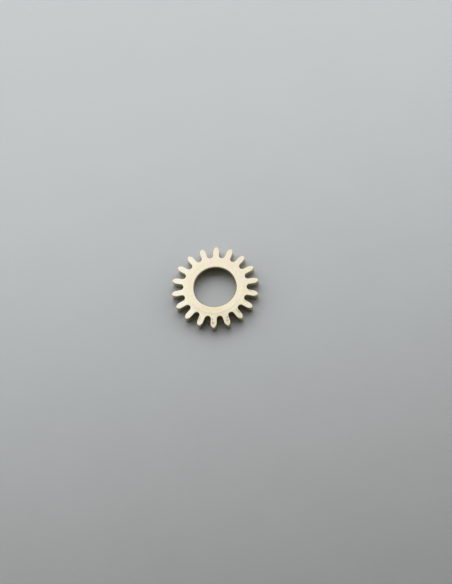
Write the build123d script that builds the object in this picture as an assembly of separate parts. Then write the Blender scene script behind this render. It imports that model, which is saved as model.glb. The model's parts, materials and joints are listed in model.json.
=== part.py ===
from build123d import *
import os
from math import cos, radians, sin, sqrt, tan

# A setting wheel: turned from one piece of brass, with its teeth cut straight through the rim.
# Lengths are in millimetres. The bore's axis is Z, the underside lies at z = 0,
# and the first tooth points along +X.

# Teeth
tooth_count = 18
module = 0.15  # pitch circle's diameter for each tooth
tooth_width = 0.214  # between the two parallel flanks of a tooth
addendum = 0.175  # from the pitch circle out to the tips
dedendum = 0.244  # from the pitch circle in to the bottoms of the gaps
nose_radius = 0.071  # of the arc at the very tip of a tooth

# Turned body
bore_diameter = 1.49
bore_chamfer = 0.025
hub_diameter = 1.98  # of the raised ring round the bore
hub_height = 0.36
hub_step = 0.005  # the rim's face begins this far under the hub's face
rim_slope = 3.0  # degrees by which the rim's face falls on its way out to the tips
edge_break = 0.015  # chamfer along the toothed edge, on both faces

# Worked out from the values above
pitch_radius = module * tooth_count / 2
tip_radius = pitch_radius + addendum
root_radius = pitch_radius - dedendum
bore_radius = bore_diameter / 2
hub_radius = hub_diameter / 2
rim_height = hub_height - hub_step  # of the rim's face where it meets the hub
blank_radius = tip_radius + edge_break  # of the turned body before the teeth are cut
half_width = tooth_width / 2
half_pitch = 180 / tooth_count
same_distance = 1e-4  # two distances that differ by less are the same


def at_angle(point, angle):
    """A point in the wheel's plane, turned about the axis."""
    x, y = point
    turn = radians(angle)
    return (x * cos(turn) - y * sin(turn), x * sin(turn) + y * cos(turn))


def tooth_edges(angle):
    """One tooth, and the round-bottomed gap after it, as a chain of lines and arcs."""
    # The gap's bottom is an arc that touches the facing flanks of both teeth
    lean = sin(radians(half_pitch))
    gap_center = (root_radius - half_width) / (1 - lean)
    gap_radius = gap_center * lean - half_width
    flank_start = gap_center * cos(radians(half_pitch))

    # The tip arc leaves the flank on the pitch circle and touches the nose arc
    tip_arc_radius = (addendum**2 + half_width**2 - 2 * nose_radius * addendum) / (half_width - nose_radius) / 2
    offset = tip_arc_radius - half_width
    nose_center = tip_radius - nose_radius
    toward = sqrt((nose_center - pitch_radius) ** 2 + offset**2)
    nose_x = nose_center + nose_radius * (nose_center - pitch_radius) / toward
    nose_y = nose_radius * offset / toward

    # A point of each tip arc, halfway along it, for a three-point arc
    middle = (pitch_radius + nose_x) / 2
    middle_y = sqrt(tip_arc_radius**2 - (middle - pitch_radius) ** 2) - offset

    def place(x, y):
        return at_angle((x, y), angle)

    gap_bottom = at_angle((gap_center - gap_radius, 0), angle + half_pitch)
    next_flank = at_angle((flank_start, -half_width), angle + 2 * half_pitch)
    return [
        Line(place(flank_start, -half_width), place(pitch_radius, -half_width)),
        ThreePointArc(place(pitch_radius, -half_width), place(middle, -middle_y), place(nose_x, -nose_y)),
        ThreePointArc(place(nose_x, -nose_y), place(tip_radius, 0), place(nose_x, nose_y)),
        ThreePointArc(place(nose_x, nose_y), place(middle, middle_y), place(pitch_radius, half_width)),
        Line(place(pitch_radius, half_width), place(flank_start, half_width)),
        ThreePointArc(place(flank_start, half_width), gap_bottom, next_flank),
    ]


def toothed_prism():
    """The outline of all the teeth, carried up through the whole height."""
    edges = []
    for number in range(tooth_count):
        edges += tooth_edges(2 * half_pitch * number)
    outline = make_face(Wire(edges))
    return extrude(outline, amount=hub_height)


def turned(points):
    """A half section, given as radius and height, turned about the axis."""
    return revolve(make_face(Plane.XZ * Polyline(*points, close=True)), Axis.Z)


def blank():
    """The disc before the hub is left standing: level up to the hub's circle, sloping outside it."""
    rim_edge = rim_height - (blank_radius - hub_radius) * tan(radians(rim_slope))
    return turned([(0, 0), (blank_radius, 0), (blank_radius, rim_edge), (hub_radius, rim_height), (0, rim_height)])


def hub():
    """The low round boss that stands above the rim's face."""
    return turned([(0, rim_height), (hub_radius, rim_height), (hub_radius, hub_height), (0, hub_height)])


def bore():
    """What is taken out for the bore and for the chamfer at each of its ends."""
    mouth = bore_radius + bore_chamfer
    return turned(
        [
            (0, 0),
            (mouth, 0),
            (bore_radius, bore_chamfer),
            (bore_radius, hub_height - bore_chamfer),
            (mouth, hub_height),
            (0, hub_height),
        ]
    )


def on_outline(edge):
    """Whether an edge follows the teeth along one of the faces: circles and upright edges do not."""
    distances = [sqrt(spot.X**2 + spot.Y**2) for spot in (edge @ 0, edge @ 0.5, edge @ 1)]
    reaches_in = min(distances) < root_radius - same_distance
    return not reaches_in and max(distances) - min(distances) > same_distance


def setting_wheel():
    """The blank with its teeth cut and their edges broken, then the hub, then the bore."""
    teeth = toothed_prism()
    wheel = blank() & teeth
    wheel = chamfer(wheel.edges().filter_by(on_outline), edge_break)
    return wheel + (hub() & teeth) - bore()


os.makedirs("parts", exist_ok=True)
wheel = setting_wheel()
export_step(wheel, "parts/setting_wheel.step")
print("tip diameter", round(2 * tip_radius, 4), "root diameter", round(2 * root_radius, 4))
print("volume", round(wheel.volume, 4), "valid", wheel.is_valid)
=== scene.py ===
import json
import math

import bpy
import numpy as np
from mathutils import Matrix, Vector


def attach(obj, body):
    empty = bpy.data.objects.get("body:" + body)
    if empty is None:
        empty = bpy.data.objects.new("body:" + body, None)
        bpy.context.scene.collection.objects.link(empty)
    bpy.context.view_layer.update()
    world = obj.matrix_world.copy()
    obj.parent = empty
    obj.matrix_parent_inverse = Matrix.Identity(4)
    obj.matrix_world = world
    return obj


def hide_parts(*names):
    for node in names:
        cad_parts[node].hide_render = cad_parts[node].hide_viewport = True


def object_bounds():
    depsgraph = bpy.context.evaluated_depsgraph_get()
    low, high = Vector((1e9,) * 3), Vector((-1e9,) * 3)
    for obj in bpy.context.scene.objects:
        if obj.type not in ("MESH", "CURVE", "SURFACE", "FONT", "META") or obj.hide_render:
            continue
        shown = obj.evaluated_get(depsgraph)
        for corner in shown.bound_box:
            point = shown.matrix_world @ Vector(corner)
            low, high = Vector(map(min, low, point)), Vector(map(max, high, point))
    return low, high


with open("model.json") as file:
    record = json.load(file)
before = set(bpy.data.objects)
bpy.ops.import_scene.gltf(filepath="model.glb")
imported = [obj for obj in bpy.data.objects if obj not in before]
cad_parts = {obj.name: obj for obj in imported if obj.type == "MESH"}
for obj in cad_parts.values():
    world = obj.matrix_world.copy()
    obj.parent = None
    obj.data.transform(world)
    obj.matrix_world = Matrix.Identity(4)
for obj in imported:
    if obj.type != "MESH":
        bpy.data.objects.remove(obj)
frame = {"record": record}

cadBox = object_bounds()
mm = 0.001  # one millimetre, in metres
um = 0.000001  # one micrometre, in metres
print("frame loaded, the solid measures", [round(v / mm, 3) for v in cadBox[1] - cadBox[0]], "mm")


def mountRadius(name):
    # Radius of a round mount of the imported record, in metres
    for mount in frame["record"]["mounts"]:
        if mount["name"] == name:
            return mount["dims"]["r_mm"] * mm


# The wheel, with the same sizes as its solid
wheelShape = {
    "teeth": 18,
    "tipRadius": cadBox[1].x,
    "pitchRadius": 1.35 * mm,
    "rootRadius": 1.106 * mm,
    "toothWidth": 0.214 * mm,
    "noseRadius": 0.071 * mm,
    "boreRadius": mountRadius("bore"),
    "boreChamfer": 0.025 * mm,
    "height": cadBox[1].z,
    "hubRadius": 0.99 * mm,
    "hubStep": 0.005 * mm,
    "stepWidth": 0.030 * mm,  # over which the hub falls to the rim
    "stepRound": 0.060 * mm,  # radius of the bends where that fall begins and ends
    "rimSlope": math.radians(3.0),
    "edgeRound": 0.018 * mm,  # the worn edge of the teeth, on both faces
    "cornerRound": 0.004 * mm,  # the small corners at the bore's ends
    "margin": 0.060 * mm,  # strip along the outline, inside which rows follow the teeth
}

# What years of use and handling did to the wheel
wheelWear = {
    "seed": 11,
    "edgeSwing": 0.16,  # share by which the rounding of the toothed edge comes and goes
    "edgeWaves": (9, 330),  # how often it does so round the wheel
    "edgeShares": (0.45, 1.9),  # the least and the most of the rounding that is left then
    "edgeLimit": 0.65,  # share of the margin that no rounding passes
    "outlineWander": 0.6 * um,  # of the flanks, from the cutter
    "outlineWaves": (20, 260),
    "tipLoss": 7 * um,  # the most that a tooth has lost at its nose
    "crownDepth": 4.0 * um,  # the face falls this much at the toothed edge, from polishing
    "crownReach": 26 * um,
    "nicks": 26,  # small bruises along the toothed edge
    "nickDepth": (2 * um, 8 * um),
    "nickLength": (9 * um, 26 * um),
    "dimples": 110,  # tiny pits all over the faces
    "dimpleDepth": (0.3 * um, 1.3 * um),
    "dimpleSize": (9 * um, 24 * um),
    "dimpleDirt": 0.25,
    "polish": {  # how much of the worn finish each part of the skin has, and how far that reaches
        "boreReach": 9 * um,
        "face": 0.6,
        "faceReach": 16 * um,
        "turn": 0.4,  # what the middle of the rounded edge has more
        "wall": 0.5,
        "wallReach": 20 * um,
        "foot": 0.2,
    },
}

# Marks on single teeth: the tooth's number counted from +X, distance from the axis, distance to the side
# of the tooth's middle, half length, half width, direction from the tooth's own axis, depth and dirt
toothMarks = [
    {"tooth": 12, "out": 1.280 * mm, "side": -0.048 * mm, "long": 115 * um, "wide": 34 * um, "turn": 3,
     "depth": 1 * um, "dirt": 0.34},
    {"tooth": 13, "out": 1.362 * mm, "side": -0.020 * mm, "long": 38 * um, "wide": 32 * um, "turn": 20,
     "depth": 13 * um, "dirt": 0.90},
    {"tooth": 13, "out": 1.212 * mm, "side": -0.050 * mm, "long": 50 * um, "wide": 18 * um, "turn": 78,
     "depth": 7 * um, "dirt": 0.85},
    {"tooth": 13, "out": 1.290 * mm, "side": -0.045 * mm, "long": 90 * um, "wide": 30 * um, "turn": 4,
     "depth": 1 * um, "dirt": 0.30},
    {"tooth": 14, "out": 1.352 * mm, "side": 0.008 * mm, "long": 32 * um, "wide": 24 * um, "turn": -30,
     "depth": 12 * um, "dirt": 0.85},
    {"tooth": 14, "out": 1.226 * mm, "side": 0.062 * mm, "long": 66 * um, "wide": 15 * um, "turn": 118,
     "depth": 9 * um, "dirt": 0.80},
    {"tooth": 14, "out": 1.290 * mm, "side": 0.045 * mm, "long": 90 * um, "wide": 32 * um, "turn": 0,
     "depth": 1 * um, "dirt": 0.26},
    {"tooth": 15, "out": 1.255 * mm, "side": 0.062 * mm, "long": 120 * um, "wide": 36 * um, "turn": 6,
     "depth": 3 * um, "dirt": 0.58},
    {"tooth": 16, "out": 1.225 * mm, "side": 0.058 * mm, "long": 110 * um, "wide": 32 * um, "turn": -4,
     "depth": 1 * um, "dirt": 0.34},
    {"tooth": 17, "out": 1.260 * mm, "side": 0.055 * mm, "long": 120 * um, "wide": 34 * um, "turn": 3,
     "depth": 1 * um, "dirt": 0.36},
]


def arcPoints(centerX, centerY, radius, fromAngle, toAngle, steps):
    # Points on an arc: centre plus radius times the cosine and sine of evenly spaced angles.
    # Gives x, y and the unit vector from the centre; the last point is left to the next stretch.
    angle = np.linspace(fromAngle, toAngle, steps + 1)[:-1]
    outX, outY = np.cos(angle), np.sin(angle)
    return np.stack([centerX + radius * outX, centerY + radius * outY, outX, outY])


def halfTooth(shape, steps):
    # One half of a tooth from its nose round to the middle of the gap, in the tooth's own axes:
    # nose arc, tip arc, straight flank and half of the gap's round bottom, each touching the next.
    halfWidth, noseRadius = shape["toothWidth"] / 2, shape["noseRadius"]
    halfPitch = math.pi / shape["teeth"]
    lean = math.sin(halfPitch)
    gapCenter = (shape["rootRadius"] - halfWidth) / (1 - lean)
    gapRadius = gapCenter * lean - halfWidth
    reach = shape["tipRadius"] - shape["pitchRadius"]
    tipArcRadius = (reach**2 + halfWidth**2 - 2 * noseRadius * reach) / (halfWidth - noseRadius) / 2
    offset = tipArcRadius - halfWidth
    noseCenter = shape["tipRadius"] - noseRadius
    turn = math.atan2(offset, noseCenter - shape["pitchRadius"])
    nose = arcPoints(noseCenter, 0, noseRadius, 0, turn, steps["nose"])
    tip = arcPoints(shape["pitchRadius"], -offset, tipArcRadius, turn, math.pi / 2, steps["tip"])
    flankX = np.linspace(shape["pitchRadius"], gapCenter * math.cos(halfPitch), steps["flank"] + 1)[:-1]
    flank = np.stack([flankX, np.full_like(flankX, halfWidth), np.zeros_like(flankX), np.ones_like(flankX)])
    gap = arcPoints(gapCenter * math.cos(halfPitch), gapCenter * lean, -gapRadius, math.pi / 2,
                    halfPitch, steps["gap"])
    last = np.array([[(gapCenter - gapRadius) * math.cos(halfPitch)], [(gapCenter - gapRadius) * lean],
                     [math.cos(halfPitch)], [lean]])
    return np.concatenate([nose, tip, flank, gap, last], axis=1)


def oneTooth(shape, steps):
    # A whole tooth with half a gap on each side: the half tooth and its mirror image
    half = halfTooth(shape, steps)
    mirrored = half[:, ::-1] * np.array([[1], [-1], [1], [-1]])
    return np.concatenate([mirrored[:, :-1], half[:, :-1]], axis=1)


def toothedOutline(shape, steps):
    # The whole outline, counter-clockwise: one tooth turned by each tooth's angle.
    # Gives points and outward normals, both as rows of x and y.
    turns = 2 * math.pi / shape["teeth"] * np.arange(shape["teeth"])
    cos, sin = np.cos(turns)[:, None], np.sin(turns)[:, None]
    x, y, nx, ny = oneTooth(shape, steps)
    points = np.stack([(x * cos - y * sin).ravel(), (x * sin + y * cos).ravel()], axis=1)
    normals = np.stack([(nx * cos - ny * sin).ravel(), (nx * sin + ny * cos).ravel()], axis=1)
    return points, normals


def roundedProfile(corners, steps):
    # A line through corners given as radius, height and rounding: each corner becomes a fan of steps + 1
    # points on the arc that touches both of its sides; the two end points are left out.
    found = []
    for before, here, after in zip(corners, corners[1:], corners[2:]):
        a = np.array(before[:2]) - here[:2]
        b = np.array(after[:2]) - here[:2]
        a, b = a / np.linalg.norm(a), b / np.linalg.norm(b)
        half = math.acos(np.clip(a @ b, -1, 1)) / 2
        back = here[2] / math.tan(half)
        center = np.array(here[:2]) + (a + b) / np.linalg.norm(a + b) * here[2] / math.sin(half)
        start, end = here[:2] + a * back - center, here[:2] + b * back - center
        swing = math.atan2(start[0] * end[1] - start[1] * end[0], start @ end)
        angle = math.atan2(start[1], start[0]) + np.linspace(0, swing, steps + 1)
        found.append(center + here[2] * np.stack([np.cos(angle), np.sin(angle)], axis=1))
    return found


def between(a, b, count):
    # Evenly spaced points between two points, without either of them
    share = np.linspace(0, 1, count + 2)[1:-1, None]
    return a * (1 - share) + b * share


def ripple(turns, waveRange, draw):
    # Smooth noise round the wheel: cosine waves, a whole number of each, with random phases, scaled to a
    # spread of one
    waves = np.arange(waveRange[0], waveRange[1] + 1)
    phases = draw.uniform(0, 2 * math.pi, len(waves))
    return np.cos(turns[:, None] * 2 * math.pi * waves + phases).sum(axis=1) / math.sqrt(len(waves) / 2)


def wornOutline(shape, wear, steps, draw):
    # The outline after use: noses a little shorter, flanks wandering, and a rounding for every point
    # that swells where the edge was bruised. Gives points, normals and rounding.
    points, normals = toothedOutline(shape, steps)
    length = np.cumsum(np.linalg.norm(points - np.roll(points, 1, axis=0), axis=1))
    turns = length / length[-1]
    perTooth = len(points) // shape["teeth"]
    loss = np.repeat(draw.uniform(0, wear["tipLoss"], shape["teeth"]), perTooth)
    radius = np.hypot(*points.T)
    out = np.clip((radius - shape["pitchRadius"]) / (shape["tipRadius"] - shape["pitchRadius"]), 0, 1)
    points = points * (1 - loss * out**2 / radius)[:, None]
    wander = wear["outlineWander"] * ripple(turns, wear["outlineWaves"], draw)
    points = points + normals * wander[:, None]
    swing = 1 + wear["edgeSwing"] * ripple(turns, wear["edgeWaves"], draw)
    rounding = shape["edgeRound"] * np.clip(swing, *wear["edgeShares"])
    place = draw.uniform(0, 1, wear["nicks"])
    nickLength = draw.uniform(*wear["nickLength"], wear["nicks"]) / length[-1]
    nickDepth = draw.uniform(*wear["nickDepth"], wear["nicks"])
    away = (turns[:, None] - place + 0.5) % 1 - 0.5
    rounding = rounding + (nickDepth * np.exp(-(away / nickLength) ** 2)).sum(axis=1)
    return points, normals, np.minimum(rounding, shape["margin"] * wear["edgeLimit"])


# How finely the skin is divided
wheelMesh = {
    "steps": {"nose": 7, "tip": 9, "flank": 5, "gap": 9},  # points along each stretch of a half tooth
    "cornerSteps": 3,
    "boreRows": 5,
    "hubRows": 9,
    "rimRows": 24,
    "marginRows": 5,
    "edgeRows": 5,
    "wallRows": 5,
    "undersideRows": 4,
}


def wheelGrid(shape, wear, detail):
    # The closed skin as a grid: each row runs once round the wheel. Inner rows are circles of the turned
    # profile, rim rows run from the hub's circle out to a line inside the toothed outline, margin rows
    # follow the teeth from there to the edge, and the wall follows the outline.
    # Gives the points, and for each point how much it belongs to the flanks and to a worn edge.
    draw = np.random.default_rng(wear["seed"])
    outline, normal, rounding = wornOutline(shape, wear, detail["steps"], draw)
    columns, height = len(outline), shape["height"]
    inset = outline - normal * rounding[:, None]
    freshOutline = toothedOutline(shape, detail["steps"])[0]
    inner = freshOutline - normal * shape["margin"]
    innerAngle = np.unwrap(np.arctan2(inner[:, 1], inner[:, 0]))
    innerRadius = np.hypot(inner[:, 0], inner[:, 1])
    evenAngle = innerAngle.mean() + (np.arange(columns) - (columns - 1) / 2) * 2 * math.pi / columns
    bore, chamfer, corner = shape["boreRadius"], shape["boreChamfer"], shape["cornerRound"]
    hub, step, stepRound = shape["hubRadius"], shape["stepWidth"], shape["stepRound"]
    rimStart = height - shape["hubStep"]

    def coneHeight(radius):
        return rimStart - (radius - hub) * math.tan(shape["rimSlope"])

    # The turned profile from the underside up through the bore and out over the hub to the foot of its step
    corners = [
        (hub, 0, 0),
        (bore + chamfer, 0, corner),
        (bore, chamfer, corner),
        (bore, height - chamfer, corner),
        (bore + chamfer, height, corner),
        (hub - step / 2, height, stepRound),
        (hub + step / 2, rimStart, stepRound),
        (shape["tipRadius"], coneHeight(shape["tipRadius"]), 0),
    ]
    fans = roundedProfile(corners, detail["cornerSteps"])
    profile = [fans[0], fans[1], between(fans[1][-1], fans[2][0], detail["boreRows"]), fans[2], fans[3],
               between(fans[3][-1], fans[4][0], detail["hubRows"]), fans[4], fans[5]]
    profile = np.concatenate(profile)
    even = np.clip((hub - profile[:, 0]) / (hub - bore), 0, 1)[:, None]
    even[: len(fans[0])] = 1
    angle = innerAngle * (1 - even) + evenAngle * even
    circles = np.stack([profile[:, :1] * np.cos(angle), profile[:, :1] * np.sin(angle),
                        profile[:, 1:] + 0 * angle], axis=2)

    # Rim rows: radius runs from the step's foot to the inner line, at that line's own angle
    share = np.linspace(0, 1, detail["rimRows"] + 1)[1:, None]
    radius = profile[-1, 0] * (1 - share) + innerRadius * share
    rim = np.stack([radius * np.cos(innerAngle), radius * np.sin(innerAngle), coneHeight(radius)], axis=2)

    # How far each rim point lies inside the outline: worked out on one tooth, then repeated round the wheel
    perTooth = columns // shape["teeth"]
    tooth = rim[:, :perTooth, :2]
    near = np.roll(freshOutline, perTooth, axis=0)[: 3 * perTooth]
    inside = np.linalg.norm(tooth[:, :, None] - near, axis=3).min(axis=2)
    inside = np.tile(inside, (1, shape["teeth"]))

    # Margin rows: straight from the inner line to the edge's beginning
    share = np.linspace(0, 1, detail["marginRows"] + 1)[1:, None]
    flat = inner[None] * (1 - share[..., None]) + inset[None] * share[..., None]
    margin = np.concatenate([flat, coneHeight(np.hypot(flat[..., 0], flat[..., 1]))[..., None]], axis=2)
    face = np.concatenate([rim, margin])
    inside = np.concatenate([inside, shape["margin"] * (1 - share) + rounding * share])
    face[..., 2] -= wear["crownDepth"] * np.exp(-inside / wear["crownReach"])

    # Edge rows: a quarter turn from the face's normal to the outline's, then the upright wall
    def edge(fromAngle, toAngle, levels):
        swing = np.linspace(fromAngle, toAngle, detail["edgeRows"] + 1)[1:, None]
        out = outline[None] - normal[None] * (rounding * (1 - np.cos(swing)))[..., None]
        return np.concatenate([out, (levels + rounding * np.sin(swing))[..., None]], axis=2)

    topLevel = face[-1:, :, 2] - rounding
    top = edge(math.pi / 2, 0, topLevel)
    fall = np.linspace(0, 1, detail["wallRows"] + 2)[1:-1, None]
    wallHeight = topLevel * (1 - fall) + rounding * fall
    wallOutline = np.broadcast_to(outline, (len(fall), columns, 2))
    wall = np.concatenate([wallOutline, wallHeight[..., None]], axis=2)
    foot = np.concatenate([outline, rounding[:, None]], axis=1)[None]
    bottom = edge(0, -math.pi / 2, rounding[None])

    # Underside rows: from the inner line back to the bore's lower chamfer
    share = np.linspace(0, 1, detail["undersideRows"] + 1)[:-1, None]
    radius = innerRadius * (1 - share) + profile[0, 0] * share
    angle = innerAngle * (1 - share) + evenAngle * share
    under = np.stack([radius * np.cos(angle), radius * np.sin(angle), 0 * radius], axis=2)

    # Flank: none on the faces, all on the wall. Worn: most where the skin turns over, fading on both sides.
    swing = np.linspace(0, 1, detail["edgeRows"] + 1)[1:, None] + np.zeros(columns)
    boreEdge = np.hypot(profile[:, 0] - bore - chamfer, profile[:, 1] - height)
    flank = [np.zeros(circles.shape[:2]), np.zeros(inside.shape), swing, np.ones(wall.shape[:2]),
             np.ones((1, columns)), 1 - swing, np.zeros(under.shape[:2])]
    polish = wear["polish"]
    turn = polish["turn"] * np.sin(swing * math.pi)
    worn = [np.exp(-boreEdge / polish["boreReach"])[:, None] + np.zeros(columns),
            polish["face"] * np.exp(-inside / polish["faceReach"]),
            polish["face"] + turn,
            polish["wall"] * np.exp(-(topLevel - wallHeight) / polish["wallReach"]),
            np.full((1, columns), polish["foot"]), turn, np.zeros(under.shape[:2])]
    grid = np.concatenate([circles, face, top, wall, foot, bottom, under])
    return grid, np.concatenate(flank), np.concatenate(worn), draw


def sunkMark(x, y, centerX, centerY, along, long, wide):
    # A bowl with a soft lip: distance from its centre counted in half lengths and half widths;
    # the bowl falls as a bell curve, and the lip rises round it. Gives the fall, as a share of the depth.
    lip, lipAway, lipWidth = 0.2, 1.7, 0.5
    dx, dy = x - centerX, y - centerY
    a = (dx * math.cos(along) + dy * math.sin(along)) / long
    b = (-dx * math.sin(along) + dy * math.cos(along)) / wide
    away = np.sqrt(a**2 + b**2)
    return np.exp(-(away**2)) - lip * np.exp(-((away - lipAway) / lipWidth) ** 2)


def markFaces(grid, flank, shape, wear, marks, draw):
    # Sinks the marks of use into the upper face, and none into the bore's wall or the inner half of its
    # chamfer. Gives the grid again, and the dirt that sits in the marks.
    x, y, z = grid[..., 0], grid[..., 1], grid[..., 2]
    onTop = (1 - flank) * (z > shape["height"] / 2)
    fromBore = (np.hypot(x, y) - shape["boreRadius"]) / shape["boreChamfer"]
    onTop = onTop * np.clip(fromBore - 0.5, 0, 1)
    fall, dirt = np.zeros_like(x), np.zeros_like(x)
    for mark in marks:
        tooth = mark["tooth"] * 2 * math.pi / shape["teeth"]
        centerX = mark["out"] * math.cos(tooth) - mark["side"] * math.sin(tooth)
        centerY = mark["out"] * math.sin(tooth) + mark["side"] * math.cos(tooth)
        along = tooth + math.radians(mark["turn"])
        bowl = sunkMark(x, y, centerX, centerY, along, mark["long"], mark["wide"])
        fall += mark["depth"] * bowl
        dirt = np.maximum(dirt, mark["dirt"] * np.clip(bowl, 0, 1))
    for dimple in range(wear["dimples"]):
        angle = draw.uniform(0, 2 * math.pi)
        radius = draw.uniform(shape["boreRadius"], shape["tipRadius"])
        long, wide = draw.uniform(*wear["dimpleSize"], 2)
        depth, along = draw.uniform(*wear["dimpleDepth"]), draw.uniform(0, math.pi)
        bowl = sunkMark(x, y, radius * math.cos(angle), radius * math.sin(angle), along, long, wide)
        fall += depth * bowl
        dirt = np.maximum(dirt, wear["dimpleDirt"] * np.clip(bowl, 0, 1))
    out = grid.copy()
    out[..., 2] = z - fall * onTop
    return out, dirt * onTop


def closedMesh(name, grid, layers):
    # A mesh from a grid of points that closes on itself both ways, as quads with smooth shading and
    # outward faces; each layer is a number for every point
    rows, columns = grid.shape[:2]
    index = np.arange(rows * columns).reshape(rows, columns)
    right, below = np.roll(index, -1, axis=1), np.roll(index, -1, axis=0)
    quads = np.stack([index, below, np.roll(right, -1, axis=0), right], axis=2)
    mesh = bpy.data.meshes.new(name)
    mesh.vertices.add(rows * columns)
    mesh.vertices.foreach_set("co", grid.reshape(-1))
    mesh.loops.add(quads.size)
    mesh.loops.foreach_set("vertex_index", quads.reshape(-1))
    mesh.polygons.add(quads.size // 4)
    mesh.polygons.foreach_set("loop_start", np.arange(0, quads.size, 4))
    mesh.update(calc_edges=True)
    mesh.polygons.foreach_set("use_smooth", np.ones(quads.size // 4, dtype=bool))
    for layer, values in layers.items():
        attribute = mesh.attributes.new(layer, "FLOAT", "POINT")
        attribute.data.foreach_set("value", values.astype(np.float32).reshape(-1))
    mesh.validate()
    return mesh


def enclosedVolume(grid):
    # Volume inside the skin: a sum over its quads' triangles of the box product with the origin
    a, b = grid, np.roll(grid, -1, axis=0)
    c, d = np.roll(b, -1, axis=1), np.roll(grid, -1, axis=1)
    return ((np.cross(a, b) * c).sum() + (np.cross(a, c) * d).sum()) / 6


def wheelMeshFrom(shape, wear, marks, detail):
    # The worn wheel's mesh, with its flank, edge and dirt layers
    grid, flank, worn, draw = wheelGrid(shape, wear, detail)
    grid, dirt = markFaces(grid, flank, shape, wear, marks, draw)
    print("wheel skin", grid.shape[:2], "encloses", round(enclosedVolume(grid) / mm**3, 4), "cubic mm")
    return closedMesh("setting_wheel_gilt", grid, {"flank": flank, "worn": worn, "dirt": dirt})


class Wire:
    # One socket of a shader tree; arithmetic on it adds the Math nodes
    def __init__(self, tree, socket=None):
        self.tree, self.socket = tree, socket

    def node(self, kind, settings, sockets, output=0):
        # Any node: its settings first, then the values or links of its sockets
        made = self.tree.nodes.new(kind)
        for name, value in settings.items():
            setattr(made, name, value)
        for name, value in sockets.items():
            if isinstance(value, Wire):
                self.tree.links.new(value.socket, made.inputs[name])
            else:
                made.inputs[name].default_value = value
        return Wire(self.tree, made.outputs[output])

    def math(self, operation, a, b):
        return self.node("ShaderNodeMath", {"operation": operation}, {0: a, 1: b})

    def __add__(self, other):
        return self.math("ADD", self, other)

    def __radd__(self, other):
        return self.math("ADD", other, self)

    def __sub__(self, other):
        return self.math("SUBTRACT", self, other)

    def __rsub__(self, other):
        return self.math("SUBTRACT", other, self)

    def __mul__(self, other):
        return self.math("MULTIPLY", self, other)

    def __rmul__(self, other):
        return self.math("MULTIPLY", other, self)

    def larger(self, other):
        # The larger of two numbers
        return self.math("MAXIMUM", self, other)

    def rise(self, low, high):
        # 0 below low, 1 above high, and a smooth step between them
        return self.node("ShaderNodeMapRange", {"interpolation_type": "SMOOTHSTEP"},
                         {"Value": self, "From Min": low, "From Max": high})

    def choose(self, without, fully):
        # A colour between two, by this factor
        return self.node("ShaderNodeMix", {"data_type": "RGBA"}, {0: self, 6: without, 7: fully}, 2)

    def vector(self, operation, sockets, output="Vector"):
        # Vector arithmetic that begins with this vector
        return self.node("ShaderNodeVectorMath", {"operation": operation}, {0: self, **sockets}, output)

    def times(self, factors):
        # This vector with each of its parts multiplied
        return self.vector("MULTIPLY", {1: factors})

    def plus(self, shift):
        # The sum of this vector and another
        return self.vector("ADD", {1: shift})

    def toward(self, way):
        # How far this vector reaches in a direction
        return self.vector("DOT_PRODUCT", {1: way}, "Value")

    def part(self, letter):
        # One part of this vector, X, Y or Z
        return self.node("ShaderNodeSeparateXYZ", {}, {"Vector": self}, letter)

    def grain(self, scale, detail=2.0, roughness=0.5):
        # Noise at this vector, about 0.5 on average
        return self.node("ShaderNodeTexNoise", {}, {"Vector": self, "Scale": scale, "Detail": detail,
                                                    "Roughness": roughness})


def newMaterial(name):
    # A material with its tree's start and its shader
    material = bpy.data.materials.new(name)
    material.use_nodes = True
    return material, Wire(material.node_tree), material.node_tree.nodes["Principled BSDF"]


def connect(shader, sockets):
    # Links wires to a shader's sockets, and sets plain values on them
    for name, value in sockets.items():
        if isinstance(value, Wire):
            value.tree.links.new(value.socket, shader.inputs[name])
        else:
            shader.inputs[name].default_value = value


def inMillimetres(start):
    # The place on the surface along the object's own axes
    place = start.node("ShaderNodeTexCoord", {}, {}, "Object")
    return place.times((1 / mm, 1 / mm, 1 / mm))


def meshLayer(start, name):
    # A number that the mesh carries for each of its points
    return start.node("ShaderNodeAttribute", {"attribute_name": name}, {}, "Fac")


def bumped(start, layers):
    # Bump nodes in a chain, each with its height in the unit of the scene
    normal = None
    for height, distance in layers:
        sockets = {"Height": height, "Distance": distance, "Strength": 1.0}
        if normal:
            sockets["Normal"] = normal
        normal = start.node("ShaderNodeBump", {}, sockets)
    return normal


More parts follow.
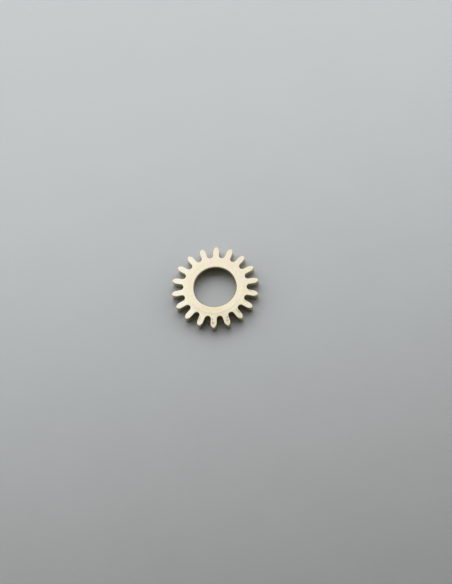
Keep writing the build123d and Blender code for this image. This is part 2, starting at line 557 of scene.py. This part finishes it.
giltFinish = {
    "fresh": (0.910, 0.828, 0.672, 1),  # the gilding where nothing happened to it
    "rosy": (0.950, 0.795, 0.715, 1),
    "greenish": (0.880, 0.848, 0.560, 1),
    "pale": (0.930, 0.885, 0.760, 1),  # polished by wear; also laid on the teeth on the left as a painted highlight
    "ochre": (0.860, 0.720, 0.470, 1),
    "frontShade": (0.700, 0.645, 0.450, 1),  # painted shade: the rim and teeth in front made darker, as they face away from the light
    "dull": (0.540, 0.500, 0.310, 1),  # walls: the duller colour of cut brass, darkened further as painted shade for the shade they stand in
    "tarnished": (0.560, 0.370, 0.170, 1),
    # grime in the marks, and the dark of the painted shade at the flanks' foot
    "grimeAndFootShade": (0.090, 0.065, 0.040, 1),
    # Noises: how fine on a place in millimetres, how many octaves and how rough
    "clouds": (3.6, 3.0, 0.55),
    "patches": (11.0, 3.0, 0.6),
    "specks": (48.0, 2.0, 0.6),
    "fineGrain": (170.0, 2.0, 0.6),
    # Stretches of another colour: the direction of the middle, between which leanings towards it the
    # stretch begins and is full, and its share at the most
    "ochreHub": {"angle": math.radians(253), "lean": (0.80, 0.96), "share": 0.60},
    # painted highlight: the teeth on the left made paler, as the light comes from there
    "teethLitFromLeft": {"angle": math.radians(175), "lean": (0.15, 0.75), "share": 0.85},
    # painted shade: the rim and the teeth in front made darker, facing away from the light
    "rimFrontShade": {"angle": math.radians(250), "lean": (0.72, 0.92), "share": 0.36},
    "teethFrontShade": {"angle": math.radians(287), "lean": (0.82, 0.985), "share": 0.50},
    # Radii in millimetres between which they begin and end, on borders that wander with the patches
    "hubBegins": (0.84, 0.88),
    "hubEnds": (0.94, 1.00),
    "rimBegins": (0.94, 1.08),
    "teethBegin": (1.10, 1.22),
    "innerWander": 0.10,
    "outerWander": 0.08,  # of the hub's outer border
    # Where the upper face begins above half the height, and the bore's wall ends outside its radius
    "faceBlend": (0, 0.02),
    "boreBlend": (0.002, 0.010),
    # Turned and cut surfaces
    "lineNoise": (1.0, 3.0, 0.6),
    "bandNoise": (1.0, 2.0, 0.5),
    "turningLines": 40,  # per millimetre of radius
    "turningSwirl": 2.2,  # how quickly the lines change round the wheel
    "turningDepth": 0.80 * um,
    "bandWidth": 0.22,  # lines of the broader bands for each turning line
    "bandSwirl": 0.9,
    "cutterLines": 38,  # per millimetre along a flank
    "cutterLength": 2.2,  # and per millimetre of height
    "cutterDepth": 0.35 * um,
    "grainDepth": 0.25 * um,
    # Scratches in three directions: the direction, how fine across and along, and a shift of the noise
    "scratches": ((0.5, 95, 3.1, 0.0), (2.3, 120, 4.4, 7.3), (1.45, 80, 2.3, 3.9)),
    "scratchNoise": (1.0, 1.0, 0.4),
    "scratchRise": (0.70, 0.78),
    "scratchDepth": 0.25 * um,
    # Between which heights of its noise each colour begins and is full
    "rosyRise": (0.36, 0.66),
    "patchRise": (0.33, 0.58),
    "speckRise": (0.55, 0.72),
    "bandRise": (0.45, 0.70),
    "tarnishRise": (0.45, 0.64),
    "footShadeRise": (0.40, 0.60),
    # Shares of the colours on top of each other
    "speckShare": 0.30,
    "bandShare": 0.22,
    "dullShare": 0.85,
    "tarnishShare": 0.45,
    "wornShare": 0.55,
    "footShade": 0.65,
    "footHeight": 0.11,  # millimetres above the ground that the painted shade at the flanks' foot reaches
    "markGrime": 0.85,
    "grimeAndShadeCover": 0.7,  # share of the metal's look that full grime or full painted foot shade takes away
    # Roughness, and what the noises, scratches, grime and painted foot shade add to it
    "faceRoughness": 0.27,
    "flankRoughness": 0.12,
    "boreRoughness": 0.10,
    "wornRoughness": 0.17,
    "cloudRoughness": 0.16,
    "patchRoughness": 0.12,
    "scratchRoughness": 0.06,
    "grimeAndShadeRoughness": 0.30,
}


def giltMarks(start, finish, shape):
    # Every pattern and region of the gilding by name, each a number over the surface
    place = inMillimetres(start)
    level = place.times((1, 1, 0))
    skin = {name: meshLayer(start, name) for name in ("flank", "worn", "dirt")}
    skin["z"] = place.part("Z")
    skin["radius"] = level.vector("LENGTH", {}, "Value")
    skin["heading"] = level.vector("NORMALIZE", {})
    skin["faceTop"] = (skin["z"] - shape["height"] / mm * 0.5).rise(*finish["faceBlend"])
    skin["inBore"] = 1 - (skin["radius"] - shape["boreRadius"] / mm).rise(*finish["boreBlend"])
    skin["clouds"] = place.grain(*finish["clouds"])
    skin["patches"] = place.times((1, 1, 0.5)).grain(*finish["patches"])
    skin["specks"] = place.grain(*finish["specks"])
    skin["fineGrain"] = place.grain(*finish["fineGrain"])

    # Turned surfaces: lines that change quickly with radius and height, slowly with the angle
    count = (skin["radius"] + skin["z"]) * finish["turningLines"]
    lines = start.node("ShaderNodeCombineXYZ", {}, {"Z": count})
    swirl, bandSwirl = finish["turningSwirl"], finish["bandSwirl"]
    around = skin["heading"].times((swirl, swirl, 0))
    skin["turning"] = around.plus(lines).grain(*finish["lineNoise"])
    around = skin["heading"].times((bandSwirl, bandSwirl, 0))
    skin["bands"] = around.plus(lines.times((0, 0, finish["bandWidth"]))).grain(*finish["bandNoise"])

    # Cut flanks: lines along the wheel's axis, from the cutter
    fine = finish["cutterLines"]
    skin["cutting"] = place.times((fine, fine, finish["cutterLength"])).grain(*finish["lineNoise"])

    # Scratches: noise that is stretched along each direction, where it is highest
    found = []
    for angle, across, along, shift in finish["scratches"]:
        turned = start.node("ShaderNodeVectorRotate", {"rotation_type": "Z_AXIS"},
                            {"Vector": place, "Angle": angle})
        line = turned.times((across, along, 1.0)).plus((shift, shift, shift))
        found.append(line.grain(*finish["scratchNoise"]).rise(*finish["scratchRise"]))
    skin["scratch"] = found[0].larger(found[1]).larger(found[2]) * skin["faceTop"] * (1 - skin["flank"])

    # Painted shade at the foot of the flanks, in patches, and grime in the marks
    atFoot = skin["flank"] * (1 - skin["z"].rise(0.0, finish["footHeight"]))
    atFoot = atFoot * skin["patches"].rise(*finish["footShadeRise"])
    skin["grimeAndFootShade"] = (atFoot * finish["footShade"]).larger(skin["dirt"] * finish["markGrime"])
    return skin


def giltColor(skin, finish):
    # The gilding's colours laid over each other, from the clouds up to the grime, with painted highlight on
    # the left teeth and painted shade on the front, the walls and the flanks' foot
    def stretch(name):
        # How much a place belongs to a stretch, by how far it leans towards its middle
        setup = finish[name]
        way = (math.cos(setup["angle"]), math.sin(setup["angle"]), 0)
        return skin["heading"].toward(way).rise(*setup["lean"]) * setup["share"]

    wandering = skin["radius"] + skin["patches"] * finish["innerWander"]
    hubEnd = (skin["radius"] + skin["patches"] * finish["outerWander"]).rise(*finish["hubEnds"])
    onHub = wandering.rise(*finish["hubBegins"]) * (1 - hubEnd) * skin["faceTop"]
    onRim = wandering.rise(*finish["rimBegins"])
    onTeeth = wandering.rise(*finish["teethBegin"])
    color = skin["clouds"].rise(*finish["rosyRise"]).choose(finish["greenish"], finish["rosy"])
    color = skin["patches"].rise(*finish["patchRise"]).choose(finish["fresh"], color)
    polished = skin["specks"].rise(*finish["speckRise"]) * finish["speckShare"]
    color = polished.choose(color, finish["pale"])
    color = (skin["bands"].rise(*finish["bandRise"]) * finish["bandShare"]).choose(color, finish["ochre"])
    color = (stretch("ochreHub") * onHub).choose(color, finish["ochre"])
    # Painted highlight: the teeth on the left paler, as the light comes from there
    color = (stretch("teethLitFromLeft") * onTeeth).choose(color, finish["pale"])
    # Painted shade: the rim and the teeth in front darker, as they face away from the light
    frontShading = stretch("rimFrontShade") * onRim * (1 - onTeeth) + stretch("teethFrontShade") * onTeeth
    color = frontShading.choose(color, finish["frontShade"])
    # Walls and bore: the duller colour of cut brass, darkened further as painted shade
    upright = skin["flank"].larger(skin["inBore"])
    color = (upright * finish["dullShare"]).choose(color, finish["dull"])
    tarnish = upright * skin["clouds"].rise(*finish["tarnishRise"]) * finish["tarnishShare"]
    color = tarnish.choose(color, finish["tarnished"])
    color = (skin["worn"] * (1 - skin["flank"]) * finish["wornShare"]).choose(color, finish["pale"])
    return skin["grimeAndFootShade"].choose(color, finish["grimeAndFootShade"])


def giltRoughness(skin, finish):
    # The face's roughness, moved towards each other region's by how much a place belongs to it
    face = finish["faceRoughness"]
    rough = face + (skin["clouds"] - 0.5) * finish["cloudRoughness"]
    rough = rough + (skin["patches"] - 0.5) * finish["patchRoughness"]
    rough = rough + (finish["flankRoughness"] - face) * skin["flank"]
    rough = rough + (finish["boreRoughness"] - face) * skin["inBore"]
    rough = rough + (finish["wornRoughness"] - face) * skin["worn"] * (1 - skin["flank"])
    return rough + skin["scratch"] * finish["scratchRoughness"] + skin["grimeAndFootShade"] * finish["grimeAndShadeRoughness"]


def giltMaterial(finish, shape):
    gilt, start, shader = newMaterial("gilt")
    skin = giltMarks(start, finish, shape)
    onFace = 1 - skin["flank"]
    normal = bumped(start, (
        (skin["turning"] * onFace, finish["turningDepth"]),
        (skin["cutting"] * skin["flank"], finish["cutterDepth"]),
        (skin["fineGrain"] * onFace, finish["grainDepth"]),
        (skin["specks"] * onFace, finish["grainDepth"]),
        (1 - skin["scratch"], finish["scratchDepth"]),
    ))
    connect(shader, {"Base Color": giltColor(skin, finish), "Roughness": giltRoughness(skin, finish),
                     "Metallic": 1 - skin["grimeAndFootShade"] * finish["grimeAndShadeCover"], "Normal": normal})
    return gilt


def inScene(name, data):
    # A new object of the scene
    made = bpy.data.objects.new(name, data)
    bpy.context.scene.collection.objects.link(made)
    return made


wheel = inScene("setting_wheel_gilt", wheelMeshFrom(wheelShape, wheelWear, toothMarks, wheelMesh))
wheel.data.materials.append(giltMaterial(giltFinish, wheelShape))
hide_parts("setting_wheel")
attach(wheel, "root")
print("wheel made")

# The ground: a sheet of grey card with painted light, lighter behind the wheel and darker in front, as the
# light falls on it
groundSheet = {
    "size": 400 * mm,
    # painted light: the card's colour behind the wheel, and in front of it
    "light": (0.468, 0.485, 0.492, 1),
    "dark": (0.209, 0.217, 0.206, 1),
    "fadeWay": (-0.106, 0.994, 0),  # towards the lighter side
    "fadeFrom": -22.5,  # millimetres that way from the wheel
    "fadeTo": 8.5,
    "fibre": (9.0, 4.0, 0.6),  # each noise: how fine in a millimetre, how many octaves and how rough
    "fibreShade": 0.052,
    "cloud": (0.45, 3.0, 0.5),
    "cloudShade": 0.078,
    "fibreDepth": 3 * um,
    "roughness": 0.9,
    "shine": 0.2,
}


def groundMaterial(finish):
    card, start, shader = newMaterial("grey_card")
    place = inMillimetres(start)
    fibre, cloud = place.grain(*finish["fibre"]), place.grain(*finish["cloud"])
    # Painted light: the card's colour runs from dark in front to light behind the wheel
    shade = place.toward(finish["fadeWay"]).rise(finish["fadeFrom"], finish["fadeTo"])
    shade = shade + (fibre - 0.5) * finish["fibreShade"] + (cloud - 0.5) * finish["cloudShade"]
    connect(shader, {"Base Color": shade.choose(finish["dark"], finish["light"]),
                     "Roughness": finish["roughness"], "Specular IOR Level": finish["shine"],
                     "Normal": bumped(start, ((fibre, finish["fibreDepth"]),))})
    return card


half = groundSheet["size"] / 2
sheet = bpy.data.meshes.new("ground")
corners = [(-half, -half, 0), (half, -half, 0), (half, half, 0), (-half, half, 0)]
sheet.from_pydata(corners, [], [(0, 1, 2, 3)])
sheet.materials.append(groundMaterial(groundSheet))
ground = inScene("ground", sheet)

# The camera looks down at the photograph's angle, and is rolled as the photograph is
picture = {
    "width": 452,  # pixels
    "height": 584,
    "wheelAt": (214.83, 286.65),  # the middle of the wheel's hub face in the photograph
    "wheelReach": 43.95,  # pixels from there to a tip along the long axis
    "azimuth": 4.1,  # degrees
    "elevation": 66.5,
    "roll": 13.4,
    "lens": 107.0,  # millimetres, on a sensor 36 mm along the picture's long side
    "sensor": 36.0,
    "clip": 50,  # the nearest and farthest that is seen: this many times nearer and farther than the wheel
}


def standing(right, up, back, place):
    # The matrix of an object with these axes at this place
    matrix = np.eye(4)
    matrix[:3] = np.stack([right, up, back, place], axis=1)
    return Matrix(matrix.tolist())


def placeCamera(setup, shape):
    # Distance from the wheel's size in pixels; the aim is moved off the wheel by its offset in the picture
    azimuth, elevation, roll = (math.radians(setup[k]) for k in ("azimuth", "elevation", "roll"))
    back = np.array([math.sin(azimuth) * math.cos(elevation), -math.cos(azimuth) * math.cos(elevation),
                     math.sin(elevation)])
    level = np.array([math.cos(azimuth), math.sin(azimuth), 0])
    rise = np.cross(back, level)
    right = math.cos(roll) * level - math.sin(roll) * rise
    up = math.sin(roll) * level + math.cos(roll) * rise
    pixel = shape["tipRadius"] / setup["wheelReach"]
    distance = setup["lens"] / setup["sensor"] * setup["height"] * pixel
    fromMiddle = (setup["wheelAt"][0] - setup["width"] / 2, setup["height"] / 2 - setup["wheelAt"][1])
    target = np.array([0, 0, shape["height"]]) - (right * fromMiddle[0] + up * fromMiddle[1]) * pixel
    data = bpy.data.cameras.new("camera")
    data.lens, data.sensor_width, data.sensor_fit = setup["lens"], setup["sensor"], "AUTO"
    data.clip_start, data.clip_end = distance / setup["clip"], distance * setup["clip"]
    camera = inScene("camera", data)
    camera.matrix_world = standing(right, up, back, target + back * distance)
    bpy.context.scene.camera = camera
    print("camera stands", round(distance / mm, 1), "mm away")


placeCamera(picture, wheelShape)

# Soft light on dull surfaces: a tall window behind the wheel in panes, with low panes at its sides
window = {
    "distance": 0.14,
    "paneTurn": math.radians(43),  # how far round the wheel a pane reaches
    "paneRise": math.radians(15),  # and how far up
    # Each pane: azimuth and elevation in degrees, then radiance. Azimuth 0 is behind the wheel, and 90 is
    # to its left.
    "panes": [
        (-90, 14, 3.7), (-45, 14, 2.0), (0, 14, 1.9), (45, 14, 2.8), (90, 14, 2.5),
        (-90, 29, 1.5), (-45, 29, 3.5), (0, 29, 4.7), (45, 29, 4.1), (90, 29, 0.6),
        (-45, 44, 2.9), (0, 44, 5.2), (45, 44, 2.6),
        (-45, 59, 2.2), (0, 59, 4.0), (45, 59, 1.6),
    ],
}


def windowPane(setup, turn, rise, radiance):
    # A rectangular lamp that faces the wheel: as wide as its share of the circle at its height, with a
    # power of radiance times area times pi. Shiny surfaces see the room instead.
    azimuth, elevation = math.radians(turn), math.radians(rise)
    away = np.array([-math.sin(azimuth) * math.cos(elevation), math.cos(azimuth) * math.cos(elevation),
                     math.sin(elevation)])
    wide = setup["paneTurn"] * setup["distance"] * math.cos(elevation)
    high = setup["paneRise"] * setup["distance"]
    data = bpy.data.lights.new("pane", "AREA")
    data.shape, data.size, data.size_y = "RECTANGLE", wide, high
    data.energy = radiance * wide * high * math.pi
    lamp = inScene("pane", data)
    side = np.cross([0, 0, 1.0], away)
    side /= np.linalg.norm(side)
    lamp.matrix_world = standing(side, np.cross(away, side), away, away * setup["distance"])
    lamp.visible_camera = lamp.visible_glossy = False


for pane in window["panes"]:
    windowPane(window, *pane)

# What shiny surfaces see: a room that is bright behind the wheel and at its sides, most on the left
room = {
    "fill": 0.03,  # light from all sides on dull surfaces
    "backdrop": 0.50,  # what the camera sees past the ground
    "left": 1.05,
    "right": 0.97,
    "dim": 0.48,  # in front
    "low": 0.12,  # in front, close above the ground
    "leftWay": (-1, 0, 0),
    "leftRise": (-0.15, 0.20),  # how far a direction leans that way where the turn begins and ends
    "backWay": (0, 1, 0),
    "backRise": (-0.42, 0.38),
    "lowRise": (0.05, 0.26),  # heights of a direction between which the front turns from low to dim
}


def roomLight(setup):
    # Shiny surfaces see bright or dim by direction, dull ones an even fill, and the camera the backdrop
    world = bpy.data.worlds.new("room")
    bpy.context.scene.world = world
    world.use_nodes = True
    start = Wire(world.node_tree)
    direction = start.node("ShaderNodeTexCoord", {}, {}, "Generated")
    low, dim, left, right = (setup[k] for k in ("low", "dim", "left", "right"))
    front = low + (dim - low) * direction.part("Z").rise(*setup["lowRise"])
    bright = right + (left - right) * direction.toward(setup["leftWay"]).rise(*setup["leftRise"])
    shiny = front + (bright - front) * direction.toward(setup["backWay"]).rise(*setup["backRise"])
    camera, glossy, through = (start.node("ShaderNodeLightPath", {}, {}, ray)
                               for ray in ("Is Camera Ray", "Is Glossy Ray", "Is Transmission Ray"))
    dull = 1 - camera - glossy - through
    strength = setup["fill"] * dull + camera * setup["backdrop"] + (glossy + through) * shiny
    connect(world.node_tree.nodes["Background"], {"Strength": strength, "Color": (1, 1, 1, 1)})
    world.cycles.sampling_method = "NONE"


roomLight(room)
bpy.context.scene.view_settings.view_transform = "Standard"
print("ground, camera, window and room made")
